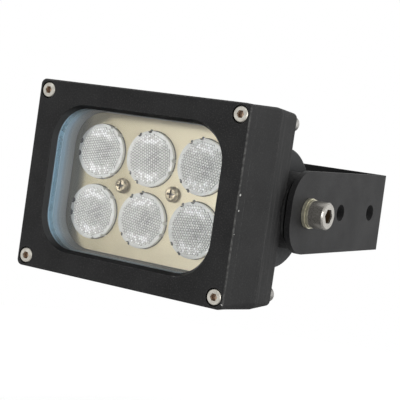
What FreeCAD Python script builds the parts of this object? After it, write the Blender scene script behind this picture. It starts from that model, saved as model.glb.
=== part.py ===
import FreeCAD, Part
import math
import os
import Sketcher

# White light illuminator: a cast lamp head that tips in a folded wall bracket.
# Millimetres. The origin is the middle of the bracket's wall face: X across, Y towards
# the wall, Z up. Each piece of the head is drawn in the head's own frame, with its front
# face at Y 0 and depth along +Y, and then set at the hinge line, tipped as it hangs.

os.makedirs("parts", exist_ok=True)
doc = FreeCAD.newDocument("illuminator")
Vector = FreeCAD.Vector

# Driving dimensions. The lenses set the window, the window the face, the face the bracket
SIZES = [
    ("lens_width", 20.2),
    ("lens_gap_x", 2.1),
    ("lens_gap_z", 2.3),
    ("window_margin_x", 3.6),
    ("window_margin_z", 4.65),
    ("frame_side", 9.5),
    ("frame_top", 9.0),
    ("face_corner", 2.2),
    ("face_edge", 0.5),
    ("bezel_depth", 4.5),
    ("window_corner", 13.0),
    ("bevel_width", 1.2),
    ("bevel_depth", 2.0),
    ("bevel_land", 0.4),
    ("seal_lip", 0.6),
    ("seal_back", 2.3),
    ("seal_wall", 1.2),
    ("seal_play", 0.1),
    ("glass_depth", 4.0),
    ("glass_margin", 3.5),
    ("glass_play", 0.05),
    ("housing_depth", 16.5),
    ("housing_draft", 2.2),
    ("rim_side", 4.5),
    ("rim_top", 4.2),
    ("cavity_corner", 9.0),
    ("pocket_over", 0.5),
    ("screw_inset_x", 3.9),
    ("screw_inset_z", 4.0),
    ("small_shank", 3.0),
    ("small_thread_play", 0.03),
    ("small_clearance", 0.2),
    ("cap_head", 5.6),
    ("cap_height", 3.0),
    ("cap_edge", 0.3),
    ("cap_hex", 2.5),
    ("cap_hex_depth", 1.6),
    ("bezel_screw_length", 8.0),
    ("counterbore_play", 0.4),
    ("tap_spare", 1.0),
    ("plate_inset", 6.5),
    ("plate_depth", 2.0),
    ("plate_gap", 0.35),
    ("plate_screw_x", 11.15),
    ("lens_rise", 1.7),
    ("lens_play", 0.25),
    ("lens_flange_step", 0.7),
    ("lens_flange_depth", 1.2),
    ("lens_tail", 9.4),
    ("lens_lift", 0.4),
    ("lens_well", 5.8),
    ("lens_well_depth", 4.4),
    ("lens_leg", 1.8),
    ("lens_leg_inset", 1.6),
    ("lens_notch", 1.3),
    ("lens_notch_spread", 26.0),
    ("lens_notch_depth", 3.0),
    ("pan_head", 5.6),
    ("pan_edge", 0.8),
    ("pan_height", 2.0),
    ("pan_cross", 3.0),
    ("pan_cross_width", 0.7),
    ("pan_cross_depth", 1.1),
    ("screw_tip_gap", 0.6),
    ("spacer_width", 6.0),
    ("spacer_length", 7.8),
    ("board_depth", 1.6),
    ("board_margin_x", 0.6),
    ("board_margin_z", 2.15),
    ("board_corner", 4.0),
    ("chip_width", 3.5),
    ("chip_depth", 0.9),
    ("dome_width", 2.6),
    ("dome_height", 1.4),
    ("dome_round", 1.2),
    ("spreader_gap", 2.0),
    ("spreader_depth", 3.0),
    ("spreader_screw_gap", 0.2),
    ("spreader_screw_z", 18.0),
    ("spreader_screw_bite", 4.0),
    ("cover_floor", 5.3),
    ("cover_draft", 4.0),
    ("cover_edge", 1.6),
    ("cover_screw_length", 20.0),
    ("seat_depth", 0.3),
    ("seat_play", 0.1),
    ("seal_washer", 6.2),
    ("seal_washer_depth", 0.6),
    ("groove_offset", 0.6),
    ("groove_width", 1.6),
    ("groove_depth", 1.4),
    ("floor_opening_height", 33.0),
    ("floor_opening_corner", 3.0),
    ("hinge_rise", 10.6),
    ("knuckle", 44.8),
    ("knuckle_wall", 3.0),
    ("knuckle_end", 7.6),
    ("knuckle_edge", 0.8),
    ("hub", 28.4),
    ("hub_rise", 0.1),
    ("boss", 20.0),
    ("boss_rise", 1.2),
    ("gland_hole_over", 2.4),
    ("driver_gap", 2.0),
    ("driver_height", 30.0),
    ("driver_corner", 2.0),
    ("driver_screw_bite", 5.4),
    ("post_inset", 4.0),
    ("post_flats", 5.0),
    ("post_length", 11.1),
    ("post_stud_gap", 0.4),
    ("link_z", 11.5),
    ("link_width", 7.6),
    ("link_height", 2.5),
    ("link_gap", 0.7),
    ("link_slot_corner", 1.0),
    ("inductor_x", 9.0),
    ("inductor_z", 4.0),
    ("inductor_width", 12.0),
    ("inductor_height", 6.0),
    ("inductor_corner", 2.0),
    ("capacitor_x", 6.0),
    ("capacitor_pitch", 9.0),
    ("capacitor_z", 8.0),
    ("capacitor_width", 8.0),
    ("capacitor_height", 11.0),
    ("capacitor_edge", 0.5),
    ("control_chip_x", 9.0),
    ("control_chip_z", 9.0),
    ("control_chip_width", 5.0),
    ("control_chip_height", 4.0),
    ("control_chip_depth", 1.5),
    ("terminal_x", 9.0),
    ("terminal_z", 8.0),
    ("terminal_width", 10.0),
    ("terminal_height", 8.0),
    ("terminal_depth", 9.0),
    ("terminal_pitch", 5.0),
    ("terminal_hole", 3.0),
    ("terminal_hole_depth", 5.0),
    ("gland_thread", 12.0),
    ("gland_thread_play", 0.1),
    ("gland_thread_length", 6.2),
    ("gland_flats", 15.0),
    ("gland_hex_depth", 5.0),
    ("gland_collar", 11.6),
    ("gland_collar_depth", 7.0),
    ("gland_well", 8.7),
    ("gland_well_depth", 8.0),
    ("gland_bore", 6.4),
    ("gland_washer", 18.4),
    ("gland_washer_depth", 1.2),
    ("nut_flats", 14.0),
    ("nut_gap", 0.4),
    ("nut_hex_depth", 6.5),
    ("nut_dome", 13.4),
    ("nut_dome_depth", 4.5),
    ("nut_dome_round", 2.4),
    ("nut_thread_play", 0.08),
    ("nut_mouth", 7.4),
    ("gland_seal_play", 0.05),
    ("gland_seal_rise", 0.4),
    ("cable_bore", 6.0),
    ("bolt", 6.0),
    ("bolt_play", 0.04),
    ("bolt_spare", 2.3),
    ("bolt_wall", 3.2),
    ("bolt_head", 10.0),
    ("bolt_head_height", 6.0),
    ("bolt_head_edge", 0.5),
    ("bolt_hex", 5.0),
    ("bolt_hex_depth", 3.2),
    ("bolt_length", 16.0),
    ("washer_play", 0.15),
    ("flat_washer", 11.0),
    ("flat_washer_depth", 1.2),
    ("spring_washer", 10.4),
    ("spring_washer_depth", 1.0),
    ("spring_slit", 0.8),
    ("friction_washer", 14.0),
    ("friction_washer_depth", 0.7),
    ("ear_play", 0.1),
    ("pivot_play", 0.08),
    ("strip_height", 30.4),
    ("strip_depth", 2.2),
    ("arm_reach", 67.0),
    ("ear_nose", 13.0),
    ("ear_corner", 12.0),
    ("bend_inside", 0.8),
    ("spare_pitch", 26.7),
    ("spare_hole", 6.4),
    ("wall_hole", 11.0),
    ("wall_slot", 6.4),
    ("wall_slot_length", 12.0),
    ("wall_slot_spacing", 30.0),
    ("head_tip", 1.75),
]

# Places worked out from them: radii, half sizes and stations along the depth
PLACES = [
    ("lens_radius", "Sizes.lens_width / 2"),
    ("lens_pitch_x", "Sizes.lens_width + Sizes.lens_gap_x"),
    ("lens_row", "(Sizes.lens_width + Sizes.lens_gap_z) / 2"),
    ("window_x", "lens_pitch_x + lens_radius + Sizes.window_margin_x"),
    ("window_z", "lens_row + lens_radius + Sizes.window_margin_z"),
    ("face_x", "window_x + Sizes.frame_side"),
    ("face_z", "window_z + Sizes.frame_top"),
    ("screw_x", "face_x - Sizes.screw_inset_x"),
    ("screw_z", "face_z - Sizes.screw_inset_z"),
    ("bevel_x", "window_x + Sizes.bevel_width"),
    ("bevel_z", "window_z + Sizes.bevel_width"),
    ("bevel_corner", "Sizes.window_corner + Sizes.bevel_width"),
    ("seal_front", "Sizes.bevel_depth + Sizes.bevel_land"),
    ("glass_front", "seal_front + Sizes.seal_lip"),
    ("seal_rear", "glass_front + Sizes.glass_depth + Sizes.seal_back"),
    ("seal_depth", "seal_rear - seal_front"),
    ("glass_x", "window_x + Sizes.glass_margin"),
    ("glass_z", "window_z + Sizes.glass_margin"),
    ("glass_corner", "Sizes.window_corner + Sizes.glass_margin"),
    ("channel_x", "glass_x + Sizes.glass_play"),
    ("channel_z", "glass_z + Sizes.glass_play"),
    ("channel_corner", "glass_corner + Sizes.glass_play"),
    ("seal_x", "channel_x + Sizes.seal_wall"),
    ("seal_z", "channel_z + Sizes.seal_wall"),
    ("seal_corner", "channel_corner + Sizes.seal_wall"),
    ("rebate_x", "seal_x + Sizes.seal_play"),
    ("rebate_z", "seal_z + Sizes.seal_play"),
    ("rebate_corner", "seal_corner + Sizes.seal_play"),
    ("bezel_rebate_depth", "Sizes.bezel_depth - seal_front"),
    ("housing_rebate_depth", "seal_rear - Sizes.bezel_depth"),
    ("joint", "Sizes.bezel_depth + Sizes.housing_depth"),
    ("spread", "Sizes.housing_depth * tan(Sizes.housing_draft * 1deg)"),
    ("joint_x", "face_x + spread"),
    ("joint_z", "face_z + spread"),
    ("joint_corner", "Sizes.face_corner + spread"),
    ("cavity_x", "face_x - Sizes.rim_side"),
    ("cavity_z", "face_z - Sizes.rim_top"),
    ("small_shank_radius", "Sizes.small_shank / 2"),
    ("small_bore_radius", "small_shank_radius + Sizes.small_thread_play"),
    ("small_hole_radius", "small_shank_radius + Sizes.small_clearance"),
    ("cap_radius", "Sizes.cap_head / 2"),
    ("cap_face_radius", "cap_radius - Sizes.cap_edge"),
    ("counterbore_radius", "cap_radius + Sizes.counterbore_play"),
    ("front_tap_depth", "Sizes.cap_height + Sizes.bezel_screw_length - Sizes.bezel_depth + Sizes.tap_spare"),
    ("pan_radius", "Sizes.pan_head / 2"),
    ("pan_face_radius", "pan_radius - Sizes.pan_edge"),
    ("cross_reach", "Sizes.pan_cross / 2"),
    ("cross_half", "Sizes.pan_cross_width / 2"),
    ("plate_front", "joint - Sizes.plate_inset"),
    ("plate_rear", "plate_front + Sizes.plate_depth"),
    ("pocket_rear", "plate_rear + Sizes.pocket_over"),
    ("cavity_depth", "joint - pocket_rear"),
    ("plate_x", "window_x - Sizes.plate_gap"),
    ("plate_z", "window_z - Sizes.plate_gap"),
    ("plate_corner", "Sizes.window_corner - Sizes.plate_gap"),
    ("lens_face", "plate_front - Sizes.lens_rise"),
    ("lens_hole_radius", "lens_radius + Sizes.lens_play"),
    ("flange_radius", "lens_radius + Sizes.lens_flange_step"),
    ("flange_front", "Sizes.lens_rise + Sizes.plate_depth"),
    ("flange_rear", "flange_front + Sizes.lens_flange_depth"),
    ("board_front", "plate_rear + Sizes.spacer_length"),
    ("lens_seat", "board_front - lens_face"),
    ("lens_rear", "lens_seat - Sizes.lens_lift"),
    ("lens_tail_radius", "Sizes.lens_tail / 2"),
    ("well_radius", "Sizes.lens_well / 2"),
    ("well_front", "lens_rear - Sizes.lens_well_depth"),
    ("leg_radius", "Sizes.lens_leg / 2"),
    ("leg_reach", "lens_radius - Sizes.lens_leg_inset"),
    ("leg_length", "lens_seat - flange_rear"),
    ("notch_radius", "Sizes.lens_notch / 2"),
    ("board_rear", "board_front + Sizes.board_depth"),
    ("board_x", "lens_pitch_x + lens_radius + Sizes.board_margin_x"),
    ("board_z", "lens_row + lens_radius + Sizes.board_margin_z"),
    ("spacer_radius", "Sizes.spacer_width / 2"),
    ("chip_half", "Sizes.chip_width / 2"),
    ("chip_front", "board_front - Sizes.chip_depth"),
    ("dome_radius", "Sizes.dome_width / 2"),
    ("spreader_rear", "board_rear + Sizes.spreader_depth"),
    ("spreader_x", "cavity_x - Sizes.spreader_gap"),
    ("spreader_z", "cavity_z - Sizes.spreader_gap"),
    ("spreader_corner", "Sizes.cavity_corner - Sizes.spreader_gap"),
    ("spreader_screw_x", "board_x + pan_radius + Sizes.spreader_screw_gap"),
    ("spreader_screw_length", "Sizes.spreader_depth + Sizes.spreader_screw_bite"),
    ("floor_tap_depth", "Sizes.spreader_screw_bite + Sizes.post_stud_gap"),
    ("plate_screw_length", "spreader_rear - plate_front - Sizes.screw_tip_gap"),
    ("tray_depth", "spreader_rear - joint"),
    ("cover_rear", "spreader_rear + Sizes.cover_floor"),
    ("cover_depth", "cover_rear - joint"),
    ("seal_washer_radius", "Sizes.seal_washer / 2"),
    ("seat_radius", "seal_washer_radius + Sizes.seat_play"),
    ("seat_face", "cover_rear - Sizes.seat_depth"),
    ("cover_washer_rear", "seat_face + Sizes.seal_washer_depth"),
    ("cover_head_rear", "cover_washer_rear + Sizes.cap_height"),
    ("rear_tap_depth", "joint - cover_washer_rear + Sizes.cover_screw_length + Sizes.tap_spare"),
    ("groove_in_x", "cavity_x + Sizes.groove_offset"),
    ("groove_in_z", "cavity_z + Sizes.groove_offset"),
    ("groove_in_corner", "Sizes.cavity_corner + Sizes.groove_offset"),
    ("groove_out_x", "groove_in_x + Sizes.groove_width"),
    ("groove_out_z", "groove_in_z + Sizes.groove_width"),
    ("groove_out_corner", "groove_in_corner + Sizes.groove_width"),
    ("ring_in_x", "groove_in_x + Sizes.seal_play"),
    ("ring_in_z", "groove_in_z + Sizes.seal_play"),
    ("ring_in_corner", "groove_in_corner + Sizes.seal_play"),
    ("ring_out_x", "groove_out_x - Sizes.seal_play"),
    ("ring_out_z", "groove_out_z - Sizes.seal_play"),
    ("ring_out_corner", "groove_out_corner - Sizes.seal_play"),
    ("knuckle_radius", "Sizes.knuckle / 2"),
    ("knuckle_inside", "knuckle_radius - Sizes.knuckle_wall"),
    ("hinge_depth", "cover_rear + Sizes.hinge_rise"),
    ("knuckle_rear", "hinge_depth + knuckle_radius"),
    ("hub_radius", "Sizes.hub / 2"),
    ("hub_x", "joint_x + Sizes.hub_rise"),
    ("friction_x", "hub_x + Sizes.friction_washer_depth"),
    ("ear_inside", "friction_x + Sizes.ear_play"),
    ("ear_x", "ear_inside + Sizes.strip_depth"),
    ("flat_washer_x", "ear_x + Sizes.ear_play + Sizes.flat_washer_depth"),
    ("spring_washer_x", "flat_washer_x + Sizes.spring_washer_depth"),
    ("bolt_top_x", "spring_washer_x + Sizes.bolt_head_height"),
    ("bolt_bore_depth", "hub_x - spring_washer_x + Sizes.bolt_length + Sizes.bolt_spare"),
    ("opening_x", "hub_x - bolt_bore_depth - Sizes.bolt_wall"),
    ("opening_z", "Sizes.floor_opening_height / 2"),
    ("opening_depth", "hinge_depth - spreader_rear"),
    ("knuckle_cavity", "2 * opening_x"),
    ("knuckle_x", "opening_x + Sizes.knuckle_end"),
    ("knuckle_length", "2 * knuckle_x"),
    ("hub_length", "2 * hub_x"),
    ("boss_radius", "Sizes.boss / 2"),
    ("boss_face", "knuckle_rear + Sizes.boss_rise"),
    ("boss_depth", "Sizes.boss_rise + Sizes.knuckle_wall"),
    ("boss_start", "boss_face - boss_depth"),
    ("gland_radius", "Sizes.gland_thread / 2"),
    ("gland_hole_radius", "gland_radius + Sizes.gland_thread_play"),
    ("gland_hole_depth", "boss_depth + Sizes.gland_hole_over"),
    ("driver_front", "spreader_rear + Sizes.post_length"),
    ("driver_rear", "driver_front + Sizes.board_depth"),
    ("driver_x", "opening_x - Sizes.driver_gap"),
    ("driver_z", "Sizes.driver_height / 2"),
    ("driver_screw_top", "driver_rear + Sizes.pan_height"),
    ("driver_screw_length", "Sizes.board_depth + Sizes.driver_screw_bite"),
    ("post_x", "driver_x - Sizes.post_inset"),
    ("post_stud", "Sizes.spreader_depth - Sizes.post_stud_gap"),
    ("post_bore_depth", "Sizes.driver_screw_bite + Sizes.tap_spare"),
    ("link_length", "driver_front - board_rear"),
    ("link_half_x", "Sizes.link_width / 2"),
    ("link_half_z", "Sizes.link_height / 2"),
    ("link_slot_x", "link_half_x + Sizes.link_gap"),
    ("link_slot_z", "link_half_z + Sizes.link_gap"),
    ("inductor_half", "Sizes.inductor_width / 2"),
    ("capacitor_radius", "Sizes.capacitor_width / 2"),
    ("capacitor_top_radius", "capacitor_radius - Sizes.capacitor_edge"),
    ("capacitor_side", "Sizes.capacitor_height - Sizes.capacitor_edge"),
    ("capacitor_far_x", "Sizes.capacitor_x + Sizes.capacitor_pitch"),
    ("control_chip_half_x", "Sizes.control_chip_width / 2"),
    ("control_chip_half_z", "Sizes.control_chip_height / 2"),
    ("terminal_half_x", "Sizes.terminal_width / 2"),
    ("terminal_half_z", "Sizes.terminal_height / 2"),
    ("terminal_hole_radius", "Sizes.terminal_hole / 2"),
    ("terminal_step", "Sizes.terminal_pitch / 2"),
    ("terminal_rear", "driver_rear + Sizes.terminal_depth"),
    ("gland_seat", "boss_face + Sizes.gland_washer_depth"),
    ("gland_start", "gland_seat - Sizes.gland_thread_length"),
    ("gland_hex_rear", "gland_seat + Sizes.gland_hex_depth"),
    ("gland_collar_radius", "Sizes.gland_collar / 2"),
    ("gland_end", "gland_hex_rear + Sizes.gland_collar_depth"),
    ("gland_length", "gland_end - gland_start"),
    ("gland_well_radius", "Sizes.gland_well / 2"),
    ("gland_well_front", "gland_end - Sizes.gland_well_depth"),
    ("gland_bore_radius", "Sizes.gland_bore / 2"),
    ("gland_washer_radius", "Sizes.gland_washer / 2"),
    ("gland_seal_radius", "gland_well_radius - Sizes.gland_seal_play"),
    ("gland_seal_length", "Sizes.gland_well_depth + Sizes.gland_seal_rise"),
    ("cable_radius", "Sizes.cable_bore / 2"),
    ("nut_front", "gland_hex_rear + Sizes.nut_gap"),
    ("nut_dome_front", "nut_front + Sizes.nut_hex_depth"),
    ("nut_rear", "nut_dome_front + Sizes.nut_dome_depth"),
    ("nut_length", "nut_rear - nut_front"),
    ("nut_dome_radius", "Sizes.nut_dome / 2"),
    ("nut_bore_radius", "gland_collar_radius + Sizes.nut_thread_play"),
    ("nut_bore_depth", "gland_end + Sizes.gland_seal_rise - nut_front"),
    ("nut_mouth_radius", "Sizes.nut_mouth / 2"),
    ("bolt_radius", "Sizes.bolt / 2"),
    ("bolt_bore_radius", "bolt_radius + Sizes.bolt_play"),
    ("bolt_head_radius", "Sizes.bolt_head / 2"),
    ("bolt_face_radius", "bolt_head_radius - Sizes.bolt_head_edge"),
    ("washer_hole_radius", "bolt_radius + Sizes.washer_play"),
    ("friction_radius", "Sizes.friction_washer / 2"),
    ("flat_washer_radius", "Sizes.flat_washer / 2"),
    ("spring_washer_radius", "Sizes.spring_washer / 2"),
    ("spring_half_slit", "Sizes.spring_slit / 2"),
    ("strip_z", "Sizes.strip_height / 2"),
    ("arm_length", "Sizes.arm_reach + Sizes.ear_nose"),
    ("bend_outside", "Sizes.bend_inside + Sizes.strip_depth"),
    ("pivot_radius", "bolt_radius + Sizes.pivot_play"),
    ("ear_hole_run", "2 * ear_x + Sizes.strip_depth"),
    ("spare_hole_radius", "Sizes.spare_hole / 2"),
    ("spare_near", "Sizes.arm_reach - Sizes.spare_pitch"),
    ("spare_far", "spare_near - Sizes.spare_pitch"),
    ("wall_hole_radius", "Sizes.wall_hole / 2"),
    ("wall_slot_x", "Sizes.wall_slot_spacing / 2"),
    ("wall_slot_radius", "Sizes.wall_slot / 2"),
    ("wall_slot_run", "Sizes.wall_slot_length / 2 - wall_slot_radius"),
]

sizes = doc.addObject("Spreadsheet::Sheet", "Sizes")
for row, (word, value) in enumerate(SIZES, 1):
    sizes.set("A%d" % row, word)
    sizes.set("B%d" % row, str(value))
    sizes.setAlias("B%d" % row, word)
places = doc.addObject("Spreadsheet::Sheet", "Places")
for row, (word, rule) in enumerate(PLACES, 1):
    places.setAlias("B%d" % row, word)
for row, (word, rule) in enumerate(PLACES, 1):
    places.set("A%d" % row, word)
    places.set("B%d" % row, "=" + rule)
doc.recompute()
SIZE_WORDS = [word for word, value in SIZES]


# A length is written as words joined by + and -: the formula binds it, the amount draws it

def amount(text):
    total = 0.0
    sign = 1.0
    for word in text.split():
        if word in ("+", "-"):
            sign = 1.0 if word == "+" else -1.0
            continue
        if word == "0":
            number = 0.0
        elif word in SIZE_WORDS:
            number = float(sizes.get(word))
        else:
            number = float(places.get(word))
        total += sign * number
        sign = 1.0
    return total


def formula(text):
    words = []
    for word in text.split():
        if word in ("+", "-", "0"):
            words.append(word)
        elif word in SIZE_WORDS:
            words.append("Sizes." + word)
        else:
            words.append("Places." + word)
    return " ".join(words)


def bind(item, name, text):
    item.setExpression(name, formula(text))


# Bodies, sketches and their constraints

def newBody(label):
    body = doc.addObject("PartDesign::Body", label)
    body.Label = label
    return body


def sketchOn(body, name, role):
    sketch = body.newObject("Sketcher::SketchObject", name)
    plane = [item for item in body.Origin.OriginFeatures if item.Role == role][0]
    sketch.AttachmentSupport = (plane, [""])
    sketch.MapMode = "FlatFace"
    return sketch


def sketchAtDepth(body, name, depth):
    sketch = sketchOn(body, name, "XZ_Plane")
    sketch.setExpression("AttachmentOffset.Base.z", "-(%s)" % formula(depth))
    return sketch


def setRow(sketch, row, rule):
    sketch.setExpression("Constraints[%d]" % row, rule)


def pinPoint(sketch, index, end, x, y):
    for kind, text, axis in (("DistanceX", x, -2), ("DistanceY", y, -1)):
        if text == "0":
            sketch.addConstraint(Sketcher.Constraint("PointOnObject", index, end, axis))
            continue
        row = sketch.addConstraint(Sketcher.Constraint(kind, -1, 1, index, end, amount(text)))
        setRow(sketch, row, formula(text))


def addLine(sketch, start, end):
    ends = [Vector(amount(x), amount(y), 0) for x, y in (start, end)]
    return sketch.addGeometry(Part.LineSegment(ends[0], ends[1]))


def addArc(sketch, centre, radius, start, sweep):
    middle = Vector(amount(centre[0]), amount(centre[1]), 0)
    circle = Part.Circle(middle, Vector(0, 0, 1), amount(radius))
    return sketch.addGeometry(Part.ArcOfCircle(circle, start, start + sweep))


def addCircle(sketch, x, y, radius):
    circle = Part.Circle(Vector(x, y, 0), Vector(0, 0, 1), amount(radius))
    index = sketch.addGeometry(circle)
    row = sketch.addConstraint(Sketcher.Constraint("Radius", index, amount(radius)))
    setRow(sketch, row, formula(radius))
    return index


def circles(sketch, centres, radius):
    for x, y in centres:
        index = addCircle(sketch, amount(x), amount(y), radius)
        pinPoint(sketch, index, 3, x, y)


def circlesTurned(sketch, reach, angles, radius):
    # circles at a driven reach from the origin, at fixed angles
    for angle in angles:
        shares = (math.cos(angle), math.sin(angle))
        index = addCircle(sketch, amount(reach) * shares[0], amount(reach) * shares[1], radius)
        for kind, share in zip(("DistanceX", "DistanceY"), shares):
            distance = amount(reach) * share
            row = sketch.addConstraint(Sketcher.Constraint(kind, -1, 1, index, 3, distance))
            setRow(sketch, row, "(%s) * %.6f" % (formula(reach), share))


def polygon(sketch, points):
    count = len(points)
    lines = [addLine(sketch, points[n], points[(n + 1) % count]) for n in range(count)]
    for n, (x, y) in enumerate(points):
        following = lines[(n + 1) % count]
        sketch.addConstraint(Sketcher.Constraint("Coincident", lines[n], 2, following, 1))
        pinPoint(sketch, lines[n], 1, x, y)


def linesAndArcs(sketch, sides, centres, radius, sweep):
    # straight sides pinned at both ends, joined by tangent arcs
    count = len(sides)
    lines = [addLine(sketch, start, end) for start, end in sides]
    arcs = [addArc(sketch, centre, radius, n * sweep - math.pi / 2, sweep)
            for n, centre in enumerate(centres)]
    for n, (start, end) in enumerate(sides):
        pinPoint(sketch, lines[n], 1, start[0], start[1])
        pinPoint(sketch, lines[n], 2, end[0], end[1])
        following = lines[(n + 1) % count]
        sketch.addConstraint(Sketcher.Constraint("Tangent", lines[n], 2, arcs[n], 1))
        sketch.addConstraint(Sketcher.Constraint("Coincident", arcs[n], 2, following, 1))


def roundedRectangle(sketch, x, z, radius, centre=("0", "0")):
    west, east = "%s - %s" % (centre[0], x), "%s + %s" % (centre[0], x)
    south, north = "%s - %s" % (centre[1], z), "%s + %s" % (centre[1], z)
    left, right = west + " + " + radius, east + " - " + radius
    low, high = south + " + " + radius, north + " - " + radius
    sides = [
        ((left, south), (right, south)),
        ((east, low), (east, high)),
        ((right, north), (left, north)),
        ((west, high), (west, low)),
    ]
    centres = [(right, low), (right, high), (left, high), (left, low)]
    linesAndArcs(sketch, sides, centres, radius, math.pi / 2)


def roundedSlot(sketch, x, run, radius):
    left, right = "%s - %s" % (x, run), "%s + %s" % (x, run)
    sides = [((left, "- " + radius), (right, "- " + radius)), ((right, radius), (left, radius))]
    linesAndArcs(sketch, sides, [(right, "0"), (left, "0")], radius, math.pi)


def rectangle(sketch, x, z, centre=("0", "0")):
    west, east = "%s - %s" % (centre[0], x), "%s + %s" % (centre[0], x)
    south, north = "%s - %s" % (centre[1], z), "%s + %s" % (centre[1], z)
    polygon(sketch, [(west, south), (east, south), (east, north), (west, north)])


def hexagon(sketch, flats):
    radius = amount(flats) / math.sqrt(3)
    turns = [n * math.pi / 3 for n in range(6)]
    ends = [Vector(radius * math.cos(turn), radius * math.sin(turn), 0) for turn in turns]
    for n in range(6):
        sketch.addGeometry(Part.LineSegment(ends[n], ends[(n + 1) % 6]))
    circle = Part.Circle(Vector(0, 0, 0), Vector(0, 0, 1), radius)
    round_it = sketch.addGeometry(circle, True)
    sketch.addConstraint(Sketcher.Constraint("Coincident", round_it, 3, -1, 1))
    row = sketch.addConstraint(Sketcher.Constraint("Radius", round_it, radius))
    setRow(sketch, row, "(%s) / sqrt(3)" % formula(flats))
    for n in range(6):
        sketch.addConstraint(Sketcher.Constraint("Coincident", n, 2, (n + 1) % 6, 1))
        sketch.addConstraint(Sketcher.Constraint("PointOnObject", n, 1, round_it))
    for n in range(1, 6):
        sketch.addConstraint(Sketcher.Constraint("Equal", 0, n))
    sketch.addConstraint(Sketcher.Constraint("PointOnObject", 0, 1, -1))


# Features on those sketches: pads and pockets run rearwards unless told otherwise

def feature(body, kind, sketch, word):
    item = body.newObject("PartDesign::" + kind, sketch.Name + word)
    item.Profile = sketch
    return item


def pad(body, sketch, length, rearwards=True, draft=None):
    item = feature(body, "Pad", sketch, "_pad")
    item.Reversed = rearwards
    bind(item, "Length", length)
    if draft:
        item.setExpression("TaperAngle", draft)
    return item


def pocket(body, sketch, depth, rearwards=True, draft=None):
    item = feature(body, "Pocket", sketch, "_pocket")
    item.Reversed = not rearwards
    bind(item, "Length", depth)
    if draft:
        item.setExpression("TaperAngle", draft)
    return item


def bothWays(body, kind, sketch, length):
    item = feature(body, kind, sketch, "_both")
    item.SideType = "Symmetric"
    bind(item, "Length", length)
    return item


def edgesWhere(source, test):
    doc.recompute()
    return ["Edge%d" % n for n, edge in enumerate(source.Shape.Edges, 1) if test(edge.BoundBox)]


def fillet(body, source, name, radius, test):
    names = edgesWhere(source, test)
    item = body.newObject("PartDesign::Fillet", name)
    item.Base = (source, names)
    bind(item, "Radius", radius)
    return item


def near(value, text):
    return abs(value - amount(text)) < 0.01


def turned(label, points):
    # a piece turned about its own Y axis: points are (radius, depth)
    body = newBody(label)
    sketch = sketchOn(body, label + "_outline", "XY_Plane")
    polygon(sketch, points)
    item = feature(body, "Revolution", sketch, "_turn")
    item.ReferenceAxis = (sketch, ["V_Axis"])
    item.Angle = 360
    return body


def ring(label, outer, inner, depth, start="0"):
    body = newBody(label)
    sketch = sketchAtDepth(body, label + "_outline", start)
    circles(sketch, [("0", "0")], outer)
    circles(sketch, [("0", "0")], inner)
    pad(body, sketch, depth)
    return body


def roundedPlate(label, x, z, corner, front, depth, centre=("0", "0")):
    body = newBody(label)
    sketch = sketchAtDepth(body, label + "_outline", front)
    roundedRectangle(sketch, x, z, corner, centre)
    pad(body, sketch, depth)
    return body


def drill(body, name, centres, radius, start, depth, rearwards=True):
    sketch = sketchAtDepth(body, name, start)
    circles(sketch, centres, radius)
    pocket(body, sketch, depth, rearwards)


def screw(label, head, face, edge, height, shank, length):
    tip_depth = height + " + " + length
    return turned(label, [
        ("0", "0"),
        (face, "0"),
        (head, edge),
        (head, height),
        (shank, height),
        (shank, tip_depth),
        ("0", tip_depth),
    ])


def capScrew(label, length):
    body = screw(label, "cap_radius", "cap_face_radius", "cap_edge", "cap_height",
                 "small_shank_radius", length)
    socket = sketchAtDepth(body, label + "_socket", "0")
    hexagon(socket, "cap_hex")
    pocket(body, socket, "cap_hex_depth")
    return body


def panScrew(label, length):
    body = screw(label, "pan_radius", "pan_face_radius", "pan_edge", "pan_height",
                 "small_shank_radius", length)
    cross = sketchAtDepth(body, label + "_cross", "0")
    reach, half = "cross_reach", "cross_half"
    polygon(cross, [
        (half, half), (reach, half), (reach, "- " + half), (half, "- " + half),
        (half, "- " + reach), ("- " + half, "- " + reach), ("- " + half, "- " + half),
        ("- " + reach, "- " + half), ("- " + reach, half), ("- " + half, half),
        ("- " + half, reach), (half, reach),
    ])
    pocket(body, cross, "pan_cross_depth")
    return body


# The head's frame and the hinge line's, and the pieces set in them

tip = FreeCAD.Rotation(Vector(1, 0, 0), -amount("head_tip"))
hinge_point = Vector(0, -amount("arm_reach"), 0)
hinge_in_head = Vector(0, amount("hinge_depth"), 0)
head = FreeCAD.Placement(hinge_point - tip.multVec(hinge_in_head), tip)
hinge_line = FreeCAD.Placement(hinge_point, tip)
wall = FreeCAD.Placement()
FORWARDS = FreeCAD.Rotation()
BACKWARDS = FreeCAD.Rotation(Vector(0, 0, 1), 180)
RIGHTWARDS = FreeCAD.Rotation(Vector(0, 0, 1), 90)
LEFTWARDS = FreeCAD.Rotation(Vector(0, 0, 1), -90)
nodes = []


def keep(item, placement):
    item.Placement = placement
    nodes.append(item)


def spot(x, y, z, turn=FORWARDS):
    return FreeCAD.Placement(Vector(amount(x), amount(y), amount(z)), turn)


def group(label, master, spots, placement=head):
    # like pieces at several spots, as separate solids of one node
    links = []
    for number, (x, y, z, turn) in enumerate(spots, 1):
        link = doc.addObject("App::Link", "%s_%d" % (label, number))
        link.LinkedObject = master
        link.Placement = spot(x, y, z, turn)
        bind(link, "Placement.Base.x", x)
        bind(link, "Placement.Base.y", y)
        bind(link, "Placement.Base.z", z)
        links.append(link)
    item = doc.addObject("Part::Compound", label)
    item.Label = label
    item.Links = links
    keep(item, placement)


def at(centres, depth, turn=FORWARDS):
    return [(x, depth, z, turn) for x, z in centres]


def corners(x, z):
    return [(a + x, b + z) for a in ("", "- ") for b in ("", "- ")]


def bothSides(x):
    return [(x, "0", "0", RIGHTWARDS), ("- " + x, "0", "0", LEFTWARDS)]


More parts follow.
